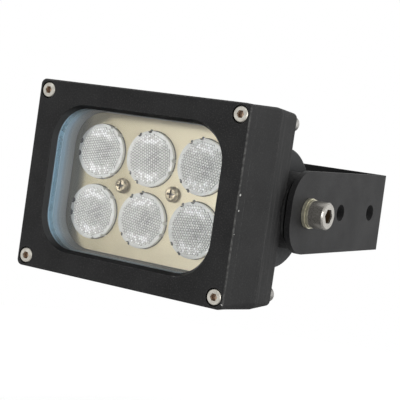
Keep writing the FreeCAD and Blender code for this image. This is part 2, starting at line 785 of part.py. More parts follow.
CENTRE = [("0", "0")]
corner_screws = corners("screw_x", "screw_z")
spreader_corners = corners("spreader_screw_x", "spreader_screw_z")
plate_pair = [("plate_screw_x", "0"), ("- plate_screw_x", "0")]
post_pair = [("post_x", "0"), ("- post_x", "0")]
lens_places = [(x, z) for z in ("lens_row", "- lens_row")
               for x in ("- lens_pitch_x", "0", "lens_pitch_x")]

# Front bezel: plate with a softened face, bevelled window, seal rebate, counterbored corners

bezel = newBody("front_bezel")
bezel_face = sketchAtDepth(bezel, "bezel_face", "0")
roundedRectangle(bezel_face, "face_x", "face_z", "face_corner")
bezel_plate = pad(bezel, bezel_face, "bezel_depth")
fillet(bezel, bezel_plate, "bezel_front_edge", "face_edge", lambda box: box.YMax < 0.01)
bezel_window = sketchAtDepth(bezel, "bezel_window", "0")
roundedRectangle(bezel_window, "window_x", "window_z", "window_corner")
pocket(bezel, bezel_window, "bezel_depth")
bezel_bevel = sketchAtDepth(bezel, "bezel_bevel", "0")
roundedRectangle(bezel_bevel, "bevel_x", "bevel_z", "bevel_corner")
pocket(bezel, bezel_bevel, "bevel_depth", draft="-atan(Sizes.bevel_width / Sizes.bevel_depth)")
bezel_rebate = sketchAtDepth(bezel, "bezel_rebate", "seal_front")
roundedRectangle(bezel_rebate, "rebate_x", "rebate_z", "rebate_corner")
pocket(bezel, bezel_rebate, "bezel_rebate_depth")
drill(bezel, "bezel_sinks", corner_screws, "counterbore_radius", "0", "cap_height")
drill(bezel, "bezel_holes", corner_screws, "small_hole_radius", "0", "bezel_depth")
keep(bezel, head)
group("bezel_screws", capScrew("bezel_screw", "bezel_screw_length"), at(corner_screws, "0"))

# Window glass, and the channel seal round its edge

glass = roundedPlate("window_glass", "glass_x", "glass_z", "glass_corner",
                     "glass_front", "glass_depth")
keep(glass, head)

glass_seal = roundedPlate("glass_seal", "seal_x", "seal_z", "seal_corner",
                          "seal_front", "seal_depth")
seal_lips = sketchAtDepth(glass_seal, "seal_lips", "seal_front")
roundedRectangle(seal_lips, "window_x", "window_z", "window_corner")
pocket(glass_seal, seal_lips, "seal_depth")
seal_channel = sketchAtDepth(glass_seal, "seal_channel", "glass_front")
roundedRectangle(seal_channel, "channel_x", "channel_z", "channel_corner")
pocket(glass_seal, seal_channel, "glass_depth")
keep(glass_seal, head)

# Housing: drafted outside, straight lens pocket, wider cavity behind, tapped corners

housing = newBody("housing")
housing_block = sketchAtDepth(housing, "housing_block", "bezel_depth")
roundedRectangle(housing_block, "face_x", "face_z", "face_corner")
pad(housing, housing_block, "housing_depth", draft="Sizes.housing_draft")
housing_pocket = sketchAtDepth(housing, "housing_pocket", "bezel_depth")
roundedRectangle(housing_pocket, "window_x", "window_z", "window_corner")
pocket(housing, housing_pocket, "housing_depth")
seal_bed = sketchAtDepth(housing, "seal_bed", "bezel_depth")
roundedRectangle(seal_bed, "rebate_x", "rebate_z", "rebate_corner")
pocket(housing, seal_bed, "housing_rebate_depth")
housing_cavity = sketchAtDepth(housing, "housing_cavity", "pocket_rear")
roundedRectangle(housing_cavity, "cavity_x", "cavity_z", "cavity_corner")
pocket(housing, housing_cavity, "cavity_depth")
drill(housing, "front_taps", corner_screws, "small_bore_radius", "bezel_depth", "front_tap_depth")
drill(housing, "rear_taps", corner_screws, "small_bore_radius", "joint", "rear_tap_depth",
      rearwards=False)
keep(housing, head)

# Lens plate, its screws and the spacers that hold it off the emitter board

lens_plate = roundedPlate("lens_plate", "plate_x", "plate_z", "plate_corner",
                          "plate_front", "plate_depth")
drill(lens_plate, "lens_holes", lens_places, "lens_hole_radius", "plate_front", "plate_depth")
drill(lens_plate, "plate_holes", plate_pair, "small_hole_radius", "plate_front", "plate_depth")
keep(lens_plate, head)
group("plate_screws", panScrew("plate_screw", "plate_screw_length"),
      at(plate_pair, "plate_front - pan_height"))
group("plate_spacers",
      ring("plate_spacer", "spacer_radius", "small_hole_radius", "spacer_length"),
      at(plate_pair, "plate_rear"))

# Lenses: collimators turned about their axis, with legs, an emitter well and rim notches

LENS_TURNS = [176, 110, 113, 173, 110, 113]


def addLens(number, x, z, turn):
    label = "lens_%d" % number
    body = turned(label, [
        ("0", "0"),
        ("lens_radius", "0"),
        ("lens_radius", "flange_front"),
        ("flange_radius", "flange_front"),
        ("flange_radius", "flange_rear"),
        ("lens_radius", "flange_rear"),
        ("lens_tail_radius", "lens_rear"),
        ("well_radius", "lens_rear"),
        ("well_radius", "well_front"),
        ("0", "well_front"),
    ])
    angles = [math.radians(turn + n * 120) for n in range(3)]
    legs = sketchAtDepth(body, label + "_legs", "flange_rear")
    circlesTurned(legs, "leg_reach", angles, "leg_radius")
    pad(body, legs, "leg_length")
    half_spread = math.radians(amount("lens_notch_spread") / 2)
    pairs = [angle + side * half_spread for angle in angles for side in (-1, 1)]
    notches = sketchAtDepth(body, label + "_notches", "0")
    circlesTurned(notches, "lens_radius", pairs, "notch_radius")
    pocket(body, notches, "lens_notch_depth")
    keep(body, head.multiply(spot(x, "lens_face", z)))


def addEmitter(number, x, z):
    label = "led_%d" % number
    body = newBody(label)
    package = sketchAtDepth(body, label + "_package", "0")
    rectangle(package, "chip_half", "chip_half")
    pad(body, package, "chip_depth")
    dome = sketchAtDepth(body, label + "_dome", "0")
    circles(dome, CENTRE, "dome_radius")
    drum = pad(body, dome, "dome_height", rearwards=False)
    fillet(body, drum, label + "_dome_round", "dome_round",
           lambda box: near(box.YMax, "- dome_height"))
    keep(body, head.multiply(spot(x, "chip_front", z)))


for number, (x, z) in enumerate(lens_places, 1):
    addLens(number, x, z, LENS_TURNS[number - 1])
    addEmitter(number, x, z)

# Emitter board on its heat spreader

led_board = roundedPlate("led_board", "board_x", "board_z", "board_corner",
                         "board_front", "board_depth")
drill(led_board, "board_holes", plate_pair, "small_hole_radius", "board_front", "board_depth")
keep(led_board, head)

spreader = roundedPlate("heat_spreader", "spreader_x", "spreader_z", "spreader_corner",
                        "board_rear", "spreader_depth")
drill(spreader, "spreader_holes", spreader_corners, "small_hole_radius",
      "board_rear", "spreader_depth")
drill(spreader, "spreader_taps", plate_pair + post_pair, "small_bore_radius",
      "board_rear", "spreader_depth")
link_slot = sketchAtDepth(spreader, "link_slot", "board_rear")
roundedRectangle(link_slot, "link_slot_x", "link_slot_z", "link_slot_corner", ("0", "link_z"))
pocket(spreader, link_slot, "spreader_depth")
keep(spreader, head)
group("spreader_screws", panScrew("spreader_screw", "spreader_screw_length"),
      at(spreader_corners, "board_rear - pan_height"))

# Rear cover: one casting of drafted tray, hinge knuckle, two hubs and the gland boss

cover = newBody("rear_cover")
cover_block = sketchAtDepth(cover, "cover_block", "joint")
roundedRectangle(cover_block, "joint_x", "joint_z", "joint_corner")
tray = pad(cover, cover_block, "cover_depth", draft="-Sizes.cover_draft")
fillet(cover, tray, "cover_rear_edge", "cover_edge",
       lambda box: box.YMin > amount("cover_rear") - 0.01)
knuckle = sketchOn(cover, "knuckle", "YZ_Plane")
circles(knuckle, [("hinge_depth", "0")], "knuckle_radius")
bothWays(cover, "Pad", knuckle, "knuckle_length")
hub = sketchOn(cover, "hub", "YZ_Plane")
circles(hub, [("hinge_depth", "0")], "hub_radius")
hubs = bothWays(cover, "Pad", hub, "hub_length")
fillet(cover, hubs, "knuckle_ends", "knuckle_edge",
       lambda box: box.XLength < 0.01 and near(abs(box.XMax), "knuckle_x")
       and near(box.YMax, "knuckle_rear"))
boss = sketchAtDepth(cover, "boss", "boss_start")
circles(boss, CENTRE, "boss_radius")
pad(cover, boss, "boss_depth")
tray_cavity = sketchAtDepth(cover, "tray_cavity", "joint")
roundedRectangle(tray_cavity, "cavity_x", "cavity_z", "cavity_corner")
pocket(cover, tray_cavity, "tray_depth")
floor_opening = sketchAtDepth(cover, "floor_opening", "spreader_rear")
roundedRectangle(floor_opening, "opening_x", "opening_z", "floor_opening_corner")
pocket(cover, floor_opening, "opening_depth")
knuckle_bore = sketchOn(cover, "knuckle_bore", "YZ_Plane")
circles(knuckle_bore, [("hinge_depth", "0")], "knuckle_inside")
bothWays(cover, "Pocket", knuckle_bore, "knuckle_cavity")
drill(cover, "gland_hole", CENTRE, "gland_hole_radius", "boss_face", "gland_hole_depth",
      rearwards=False)
for side, away in (("right", ""), ("left", "- ")):
    bolt_bore = sketchOn(cover, "bolt_bore_" + side, "YZ_Plane")
    bind(bolt_bore, "AttachmentOffset.Base.z", away + "hub_x")
    circles(bolt_bore, [("hinge_depth", "0")], "bolt_bore_radius")
    pocket(cover, bolt_bore, "bolt_bore_depth", rearwards=not away)
seal_groove = sketchAtDepth(cover, "seal_groove", "joint")
roundedRectangle(seal_groove, "groove_out_x", "groove_out_z", "groove_out_corner")
roundedRectangle(seal_groove, "groove_in_x", "groove_in_z", "groove_in_corner")
pocket(cover, seal_groove, "groove_depth")
drill(cover, "cover_holes", corner_screws, "small_hole_radius", "joint", "cover_depth")
drill(cover, "cover_seats", corner_screws, "seat_radius", "seat_face", "seat_depth")
drill(cover, "floor_taps", spreader_corners, "small_bore_radius",
      "spreader_rear", "floor_tap_depth")
keep(cover, head)

# Face seal in the cover's groove, and the cover's screws on their sealing washers

cover_seal = newBody("cover_seal")
seal_ring = sketchAtDepth(cover_seal, "seal_ring", "joint")
roundedRectangle(seal_ring, "ring_out_x", "ring_out_z", "ring_out_corner")
roundedRectangle(seal_ring, "ring_in_x", "ring_in_z", "ring_in_corner")
pad(cover_seal, seal_ring, "groove_depth")
keep(cover_seal, head)
group("cover_screws", capScrew("cover_screw", "cover_screw_length"),
      at(corner_screws, "cover_head_rear", BACKWARDS))
group("cover_washers",
      ring("cover_washer", "seal_washer_radius", "small_hole_radius", "seal_washer_depth"),
      at(corner_screws, "seat_face"))

# Driver board on two posts in the knuckle, with its parts and the link to the emitters

driver_board = roundedPlate("driver_board", "driver_x", "driver_z", "driver_corner",
                            "driver_front", "board_depth")
drill(driver_board, "driver_holes", post_pair, "small_hole_radius",
      "driver_front", "board_depth")
keep(driver_board, head)

post = newBody("driver_post")
post_hex = sketchAtDepth(post, "post_hex", "0")
hexagon(post_hex, "post_flats")
pad(post, post_hex, "post_length")
post_stud = sketchAtDepth(post, "post_stud", "0")
circles(post_stud, CENTRE, "small_shank_radius")
pad(post, post_stud, "post_stud", rearwards=False)
drill(post, "post_bore", CENTRE, "small_bore_radius", "post_length", "post_bore_depth",
      rearwards=False)
group("driver_posts", post, at(post_pair, "spreader_rear"))
group("driver_screws", panScrew("driver_screw", "driver_screw_length"),
      at(post_pair, "driver_screw_top", BACKWARDS))

inductor = roundedPlate("inductor", "inductor_half", "inductor_half", "inductor_corner",
                        "driver_rear", "inductor_height", ("- inductor_x", "- inductor_z"))
keep(inductor, head)

capacitor = turned("capacitor", [
    ("0", "0"),
    ("capacitor_radius", "0"),
    ("capacitor_radius", "capacitor_side"),
    ("capacitor_top_radius", "capacitor_height"),
    ("0", "capacitor_height"),
])
capacitor_pair = [("capacitor_x", "capacitor_z"), ("capacitor_far_x", "capacitor_z")]
group("capacitors", capacitor, at(capacitor_pair, "driver_rear"))

control_chip = newBody("control_chip")
chip_outline = sketchAtDepth(control_chip, "chip_outline", "driver_rear")
rectangle(chip_outline, "control_chip_half_x", "control_chip_half_z",
          ("- control_chip_x", "control_chip_z"))
pad(control_chip, chip_outline, "control_chip_depth")
keep(control_chip, head)

terminal = newBody("terminal_block")
terminal_outline = sketchAtDepth(terminal, "terminal_outline", "driver_rear")
rectangle(terminal_outline, "terminal_half_x", "terminal_half_z",
          ("terminal_x", "- terminal_z"))
pad(terminal, terminal_outline, "terminal_depth")
wire_holes = [("terminal_x - terminal_step", "- terminal_z"),
              ("terminal_x + terminal_step", "- terminal_z")]
drill(terminal, "wire_holes", wire_holes, "terminal_hole_radius",
      "terminal_rear", "terminal_hole_depth", rearwards=False)
keep(terminal, head)

link = newBody("board_link")
link_outline = sketchAtDepth(link, "link_outline", "board_rear")
rectangle(link_outline, "link_half_x", "link_half_z", ("0", "link_z"))
pad(link, link_outline, "link_length")
keep(link, head)

# Cable gland in the knuckle's boss: washer, body, rubber sleeve and dome nut

gland_washer = ring("gland_washer", "gland_washer_radius", "gland_hole_radius",
                    "gland_washer_depth", "boss_face")
keep(gland_washer, head)

gland = newBody("gland_body")
gland_thread = sketchAtDepth(gland, "gland_thread_circle", "gland_start")
circles(gland_thread, CENTRE, "gland_radius")
pad(gland, gland_thread, "gland_thread_length")
gland_hex = sketchAtDepth(gland, "gland_hex", "gland_seat")
hexagon(gland_hex, "gland_flats")
pad(gland, gland_hex, "gland_hex_depth")
gland_collar = sketchAtDepth(gland, "gland_collar_circle", "gland_hex_rear")
circles(gland_collar, CENTRE, "gland_collar_radius")
pad(gland, gland_collar, "gland_collar_depth")
drill(gland, "gland_bore_hole", CENTRE, "gland_bore_radius", "gland_start", "gland_length")
drill(gland, "gland_well_hole", CENTRE, "gland_well_radius", "gland_end", "gland_well_depth",
      rearwards=False)
keep(gland, head)

gland_seal = ring("gland_seal", "gland_seal_radius", "cable_radius",
                  "gland_seal_length", "gland_well_front")
keep(gland_seal, head)

nut = newBody("gland_nut")
nut_hex = sketchAtDepth(nut, "nut_hex", "nut_front")
hexagon(nut_hex, "nut_flats")
pad(nut, nut_hex, "nut_hex_depth")
nut_dome = sketchAtDepth(nut, "nut_dome_circle", "nut_dome_front")
circles(nut_dome, CENTRE, "nut_dome_radius")
dome_drum = pad(nut, nut_dome, "nut_dome_depth")
fillet(nut, dome_drum, "nut_dome_edge", "nut_dome_round", lambda box: near(box.YMin, "nut_rear"))
drill(nut, "nut_bore", CENTRE, "nut_bore_radius", "nut_front", "nut_bore_depth")
drill(nut, "nut_mouth_hole", CENTRE, "nut_mouth_radius", "nut_front", "nut_length")
keep(nut, head)

# Hinge line: on each side a friction washer, then outside the ear the washers and the bolt

group("friction_washers",
      ring("friction_washer_one", "friction_radius", "washer_hole_radius",
           "friction_washer_depth"),
      bothSides("friction_x"), hinge_line)
group("flat_washers",
      ring("flat_washer_one", "flat_washer_radius", "washer_hole_radius", "flat_washer_depth"),
      bothSides("flat_washer_x"), hinge_line)
spring_one = ring("spring_washer_one", "spring_washer_radius", "washer_hole_radius",
                  "spring_washer_depth")
slit = sketchAtDepth(spring_one, "slit", "0")
polygon(slit, [("0", "- spring_half_slit"), ("spring_washer_radius", "- spring_half_slit"),
               ("spring_washer_radius", "spring_half_slit"), ("0", "spring_half_slit")])
pocket(spring_one, slit, "spring_washer_depth")
group("spring_washers", spring_one, bothSides("spring_washer_x"), hinge_line)

for label, x, turn in (("hinge_bolt_right", "bolt_top_x", RIGHTWARDS),
                       ("hinge_bolt_left", "- bolt_top_x", LEFTWARDS)):
    bolt = screw(label, "bolt_head_radius", "bolt_face_radius", "bolt_head_edge",
                 "bolt_head_height", "bolt_radius", "bolt_length")
    bolt_socket = sketchAtDepth(bolt, label + "_socket", "0")
    hexagon(bolt_socket, "bolt_hex")
    pocket(bolt, bolt_socket, "bolt_hex_depth")
    keep(bolt, hinge_line.multiply(spot(x, "0", "0", turn)))

# Bracket: one folded strip with a rounded nose on each ear, pivot, spare and wall holes

bracket = newBody("bracket")
strip = sketchOn(bracket, "strip", "XY_Plane")
front = "- arm_length"
polygon(strip, [
    ("- ear_x", front), ("- ear_x", "0"), ("ear_x", "0"), ("ear_x", front),
    ("ear_inside", front), ("ear_inside", "- strip_depth"),
    ("- ear_inside", "- strip_depth"), ("- ear_inside", front),
])
folded = bothWays(bracket, "Pad", strip, "strip_height")
outer_bend = fillet(bracket, folded, "outer_bends", "bend_outside",
                    lambda box: near(box.ZLength, "strip_height") and near(box.YMin, "0"))
inner_bend = fillet(bracket, outer_bend, "inner_bends", "bend_inside",
                    lambda box: near(box.ZLength, "strip_height")
                    and near(box.YMin, "- strip_depth") and near(box.YMax, "- strip_depth")
                    and near(abs(box.XMin), "ear_inside"))
fillet(bracket, inner_bend, "nose_corners", "ear_corner",
       lambda box: near(box.XLength, "strip_depth") and near(box.YMax, front)
       and near(abs(box.ZMin), "strip_z"))
ear_holes = sketchOn(bracket, "pivot_holes", "YZ_Plane")
circles(ear_holes, [("- arm_reach", "0")], "pivot_radius")
bothWays(bracket, "Pocket", ear_holes, "ear_hole_run")
spare_holes = sketchOn(bracket, "spare_holes", "YZ_Plane")
circles(spare_holes, [("- spare_near", "0"), ("- spare_far", "0")], "spare_hole_radius")
bothWays(bracket, "Pocket", spare_holes, "ear_hole_run")
drill(bracket, "wall_hole_circle", CENTRE, "wall_hole_radius", "0", "strip_depth",
      rearwards=False)
wall_slots = sketchAtDepth(bracket, "wall_slots", "0")
for x in ("wall_slot_x", "- wall_slot_x"):
    roundedSlot(wall_slots, x, "wall_slot_run", "wall_slot_radius")
pocket(bracket, wall_slots, "strip_depth", rearwards=False)
keep(bracket, wall)

doc.recompute()

# Nothing is written unless every object and every piece is sound

faults = [item.Name for item in doc.Objects if "Invalid" in item.State or "Error" in item.State]
for item in nodes:
    if item.Shape.isNull() or not item.Shape.isValid():
        faults.append(item.Label)
if faults:
    raise RuntimeError("unsound: " + ", ".join(faults))
for item in nodes:
    item.Shape.exportStep("parts/%s.step" % item.Label)
    print(item.Label, len(item.Shape.Solids), round(item.Shape.Volume, 1))
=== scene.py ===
import math
import random

import bmesh
import bpy
from mathutils import Matrix, Vector


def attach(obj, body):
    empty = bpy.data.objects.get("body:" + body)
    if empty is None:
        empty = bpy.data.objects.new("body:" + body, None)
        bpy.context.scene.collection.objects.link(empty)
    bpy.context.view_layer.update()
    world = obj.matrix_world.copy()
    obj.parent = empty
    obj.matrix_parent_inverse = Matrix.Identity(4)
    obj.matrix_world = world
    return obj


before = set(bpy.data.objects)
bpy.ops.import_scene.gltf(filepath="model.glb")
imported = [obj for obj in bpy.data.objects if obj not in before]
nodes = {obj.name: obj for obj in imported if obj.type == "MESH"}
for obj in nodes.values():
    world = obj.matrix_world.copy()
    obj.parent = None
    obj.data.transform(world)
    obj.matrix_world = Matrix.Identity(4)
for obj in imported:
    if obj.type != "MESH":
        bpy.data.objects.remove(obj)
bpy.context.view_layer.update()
print("frame loaded:", len(nodes), "nodes")

# Lengths are in metres. The head's own frame has y rearward from the front face and z up.
headTilt = {"turn": math.radians(-1.75), "hinge": (0, -0.067, 0), "hingeDepth": 0.0448}
headPlace = (
    Matrix.Translation(headTilt["hinge"])
    @ Matrix.Rotation(headTilt["turn"], 4, "X")
    @ Matrix.Translation((0, -headTilt["hingeDepth"], 0))
)


# Camera, at the photograph's angle
cameraSet = {
    "eye": (0.2480, -0.4572, 0.0316),
    "aim": (-0.5310, 0.8443, -0.0729),
    "up": (-0.1468, -0.0069, 0.9892),
    "lens": 108.57,
    "sensor": 36,
    "nearest": 0.01,
}


def makeCamera(place):
    data = bpy.data.cameras.new("camera")
    data.lens = place["lens"]
    data.sensor_width = place["sensor"]
    data.clip_start = place["nearest"]
    camera = bpy.data.objects.new("camera", data)
    bpy.context.scene.collection.objects.link(camera)
    ahead = Vector(place["aim"]).normalized()
    right = ahead.cross(Vector(place["up"])).normalized()
    turn = Matrix((right, right.cross(ahead), -ahead)).transposed().to_4x4()
    camera.matrix_world = Matrix.Translation(place["eye"]) @ turn
    bpy.context.scene.camera = camera


makeCamera(cameraSet)


# Node helpers for the finishes
def addNode(tree, kind, inputs=None, **settings):
    node = tree.nodes.new("ShaderNode" + kind)
    for name, value in settings.items():
        setattr(node, name, value)
    for name, value in (inputs or {}).items():
        joinTo(tree, value, node.inputs[name])
    return node


def joinTo(tree, value, socket):
    if isinstance(value, bpy.types.NodeSocket):
        tree.links.new(value, socket)
    else:
        socket.default_value = value


def sums(tree, operation, first, second=0.0):
    return addNode(tree, "Math", {0: first, 1: second}, operation=operation).outputs[0]


def times(tree, first, second):
    return sums(tree, "MULTIPLY", first, second)


def vectorSums(tree, operation, first, second=(0, 0, 0), result="Vector"):
    return addNode(tree, "VectorMath", {0: first, 1: second}, operation=operation).outputs[result]


def between(tree, value, low, high, start=0.0, end=1.0):
    node = addNode(tree, "MapRange", {0: value, 1: low, 2: high, 3: start, 4: end}, clamp=True)
    return node.outputs[0]


def band(tree, value, rise, fall):
    return times(tree, between(tree, value, *rise), between(tree, value, *fall))


noiseSpan = (0.3, 0.7)  # most of a noise lies between these


def spread(tree, grain, start=0.0, end=1.0):
    return between(tree, grain, *noiseSpan, start, end)


def colour(red, green, blue):
    return (red, green, blue, 1)


def mixColours(tree, share, first, second):
    ends = [
        end if isinstance(end, bpy.types.NodeSocket) else colour(*end) for end in (first, second)
    ]
    return addNode(tree, "Mix", {0: share, 6: ends[0], 7: ends[1]}, data_type="RGBA").outputs[2]


def noise(tree, place, size, detail=2.0, result=0):
    inputs = {"Vector": place, "Scale": 1 / size, "Detail": detail}
    return addNode(tree, "TexNoise", inputs).outputs[result]


def stretched(tree, place, scale):
    return addNode(tree, "Mapping", {"Vector": place, "Scale": scale}).outputs[0]


def axes(tree, place):
    return addNode(tree, "SeparateXYZ", {0: place}).outputs


def objectPlace(tree):
    return addNode(tree, "TexCoord").outputs["Object"]


def headCoordinates(tree):
    turn = -headTilt["turn"]
    shift = Vector((0, headTilt["hingeDepth"], 0))
    shift -= Matrix.Rotation(turn, 3, "X") @ Vector(headTilt["hinge"])
    inputs = {"Vector": objectPlace(tree), "Rotation": (turn, 0, 0), "Location": shift}
    return addNode(tree, "Mapping", inputs).outputs[0]


def nearPoint(tree, place, point, radius, soft):
    gap = vectorSums(tree, "DISTANCE", place, point, "Value")
    return between(tree, gap, radius + soft, radius - soft)


def newFinish(name):
    material = bpy.data.materials.new(name)
    material.use_nodes = True
    return material, material.node_tree, material.node_tree.nodes["Principled BSDF"]


def setShader(tree, shader, **values):
    names = {
        "base": "Base Color", "metal": "Metallic", "rough": "Roughness", "normal": "Normal",
        "shine": "Specular IOR Level", "bend": "IOR", "through": "Transmission Weight",
        "coat": "Coat Weight", "coatRough": "Coat Roughness",
        "glow": "Emission Strength", "glowColour": "Emission Color",
        "milk": "Subsurface Weight", "milkDepth": "Subsurface Scale",
        "milkRadius": "Subsurface Radius",
    }
    for name, value in values.items():
        joinTo(tree, value, shader.inputs[names[name]])


def bump(tree, height, depth):
    return addNode(tree, "Bump", {"Height": height, "Distance": depth, "Strength": 1.0}).outputs[0]


# Some rays pass straight through the surface, tinted but not bent
def letThrough(tree, shader, share, tint):
    clear = addNode(tree, "BsdfTransparent", {0: colour(*tint)}).outputs[0]
    both = addNode(tree, "MixShader", {0: share, 1: shader.outputs[0], 2: clear}).outputs[0]
    tree.links.new(both, tree.nodes["Material Output"].inputs[0])


# Moulded and cut materials: broad blotches with a fine grain over them
mottleSet = {"broad": 9, "fineShare": 0.6, "span": (0.55, 1.05)}


def mottle(tree, place, grain):
    broad = noise(tree, place, grain * mottleSet["broad"])
    fine = noise(tree, place, grain)
    both = sums(tree, "ADD", broad, times(tree, fine, mottleSet["fineShare"]))
    return between(tree, both, *mottleSet["span"]), fine


def makePlain(name, look):
    material, tree, shader = newFinish(name)
    share, fine = mottle(tree, objectPlace(tree), look["grain"])
    setShader(
        tree, shader, base=mixColours(tree, share, look["low"], look["high"]),
        metal=look.get("metal", 0.0), shine=look.get("shine", 0.5), coat=look.get("coat", 0.0),
        rough=spread(tree, fine, *look["rough"]), normal=bump(tree, fine, look["relief"]),
    )
    return material


plainSets = {
    "blackRubber": {
        "low": (0.012, 0.012, 0.012), "high": (0.022, 0.022, 0.022),
        "grain": 0.0005, "rough": (0.6, 0.8), "relief": 0.00003, "shine": 0.3,
    },
    "nylonWasher": {
        "low": (0.02, 0.02, 0.02), "high": (0.035, 0.035, 0.035),
        "grain": 0.0006, "rough": (0.4, 0.55), "relief": 0.00002, "shine": 0.4,
    },
    "glandNylon": {
        "low": (0.018, 0.018, 0.019), "high": (0.03, 0.03, 0.031),
        "grain": 0.0007, "rough": (0.32, 0.45), "relief": 0.00003,
    },
    "emitterResin": {
        "low": (0.55, 0.40, 0.06), "high": (0.70, 0.52, 0.12),
        "grain": 0.0004, "rough": (0.3, 0.4), "relief": 0.00002, "coat": 0.3,
    },
    "boardLaminate": {
        "low": (0.62, 0.63, 0.60), "high": (0.74, 0.75, 0.72),
        "grain": 0.001, "rough": (0.35, 0.5), "relief": 0.00002,
    },
    "spreaderMetal": {
        "low": (0.55, 0.56, 0.57), "high": (0.72, 0.73, 0.74),
        "grain": 0.0008, "rough": (0.35, 0.5), "relief": 0.00003, "metal": 0.9,
    },
    "capacitorSleeve": {
        "low": (0.03, 0.035, 0.05), "high": (0.05, 0.055, 0.07),
        "grain": 0.0008, "rough": (0.3, 0.4), "relief": 0.00002,
    },
    "terminalGreen": {
        "low": (0.03, 0.16, 0.06), "high": (0.05, 0.22, 0.09),
        "grain": 0.0007, "rough": (0.35, 0.5), "relief": 0.00002,
    },
    "driverLaminate": {
        "low": (0.02, 0.12, 0.05), "high": (0.03, 0.17, 0.07),
        "grain": 0.0012, "rough": (0.35, 0.5), "relief": 0.00002,
    },
}
plain = {name: makePlain(name, look) for name, look in plainSets.items()}
print("plain finishes ready")


# Powder coat: two dark tones, and a paler one for paint wear on flecks and rubbed edges, also used
# for the painted highlight on the head's front edges
coatSet = {
    "front": (0.0120, 0.0120, 0.0123),
    "light": (0.0180, 0.0180, 0.0183),
    "wornAndHighlight": (0.15, 0.15, 0.145),
    "toneSize": 0.012,
    "grain": 0.00045,
    "relief": 0.00005,
    "fleck": 0.19,
    "fleckSpan": (0.52, 0.75),
    "patchSize": 0.0012,
    "patchSpan": (0.45, 0.62),
    "edgeWidth": 0.0006,
    "edgeTurn": (0.98, 0.86),  # cosines between the flat and the rounded normal
    "rubbed": 0.25,
    "rough": (0.52, 0.66),
    "shine": 0.11,
}
# The bracket's coat has lighter tones than the head's: painted light, for the light that falls on
# the bracket's ear
bracketLitSet = dict(
    coatSet, front=(0.014, 0.014, 0.0145), light=(0.026, 0.026, 0.0265), wornAndHighlight=(0.10, 0.10, 0.098),
    fleck=0.26, shine=0.14,
)

# The head's marks, among them painted shade and light in and around the window and a painted
# highlight on the front edges. A pair gives where a mark starts and where it is full.
markSet = {
    "windowSide": (0.0380, 0.0377),
    "windowTop": (0.0280, 0.0277),
    # Painted shade on the window chamfer's top and bottom, painted light on its sides
    "bevelShading": (0.0025, 0.0025, 0.0026),
    "bevelSideLight": (0.042, 0.043, 0.044),
    "bevelDepth": (0.0001, 0.0003),
    "bevelTurn": (0.0225, 0.0262),
    "wall": (0.285, 0.318, 0.328),
    "wallBySeal": (0.33, 0.42, 0.50),
    # Painted shade on the pocket's wall along the top and bottom
    "wallFlankShade": (0.095, 0.092, 0.080),
    "wallDepth": ((0.0070, 0.0074), (0.0180, 0.0175)),
    "sealEnd": (0.0093, 0.0125),
    "wallTurn": (0.0212, 0.0266),
    "streak": 0.10,
    "streakSize": 0.0011,
    "streakScale": (1, 1, 0.06),  # drawn out upright
    "streakSpan": (0.5, 0.68),
    "streakDepth": (0.0190, 0.0215),
    "streakSide": (0.039, 0.041),
    # The pale line on the front's right and top edges: partly paint wear, partly painted highlight
    "sideEdge": (0.0450, 0.0453),
    "topEdge": (0.0344, 0.0347),
    "topShare": 0.6,
    "edgeDepth": (0.0008, 0.0004),
    "edgeWearAndHighlight": (0.2, 0.65),
    "chip": (0.55, 0.55, 0.53),
    "chipSoft": 0.25,
    "chips": [
        ((0.0455, 0.0012, 0.0043), 0.00042), ((0.0455, 0.0016, -0.0010), 0.00030),
        ((0.0455, 0.0008, -0.0090), 0.00018), ((0.0460, 0.0275, -0.0347), 0.00045),
        ((0.0450, 0.0003, -0.0330), 0.00036),
    ],
    "raggedSize": 1 / 1500,
    "raggedShift": 0.0006,
}


def edgeShare(tree, width, turn):
    soft = addNode(tree, "Bevel", {"Radius": width}, samples=6).outputs[0]
    flat = addNode(tree, "NewGeometry").outputs["Normal"]
    return between(tree, vectorSums(tree, "DOT_PRODUCT", soft, flat, "Value"), *turn)


# The window's chamfer, with painted shade on its top and bottom and painted light on its sides, and
# the pocket's wall behind the pane, with painted shade along its top and bottom
def shadeWindow(tree, base, parts, marks):
    across, up = (sums(tree, "ABSOLUTE", parts[axis]) for axis in (0, 2))
    depth = parts[1]
    inside = times(
        tree, between(tree, across, *marks["windowSide"]), between(tree, up, *marks["windowTop"])
    )
    bevelled = times(tree, inside, between(tree, depth, *marks["bevelDepth"]))
    turned = between(tree, up, *marks["bevelTurn"])
    # painted shade on the chamfer's top and bottom, painted light on its sides
    bevelShading = mixColours(tree, turned, marks["bevelSideLight"], marks["bevelShading"])
    base = mixColours(tree, bevelled, base, bevelShading)
    pocketed = times(tree, inside, band(tree, depth, *marks["wallDepth"]))
    deeper = between(tree, depth, *marks["sealEnd"])
    wall = mixColours(tree, deeper, marks["wallBySeal"], marks["wall"])
    # painted shade on the wall along the top and bottom
    wall = mixColours(tree, between(tree, up, *marks["wallTurn"]), wall, marks["wallFlankShade"])
    return mixColours(tree, pocketed, base, wall)


# Upright streaks that the casting left on the sides
def streakSides(tree, base, place, parts, marks, wornAndHighlight):
    drawn = stretched(tree, place, marks["streakScale"])
    streaks = noise(tree, drawn, marks["streakSize"])
    streaks = between(tree, streaks, *marks["streakSpan"], 0.0, marks["streak"])
    streaks = times(tree, streaks, between(tree, parts[1], *marks["streakDepth"]))
    side = between(tree, sums(tree, "ABSOLUTE", parts[0]), *marks["streakSide"])
    return mixColours(tree, times(tree, streaks, side), base, wornAndHighlight)


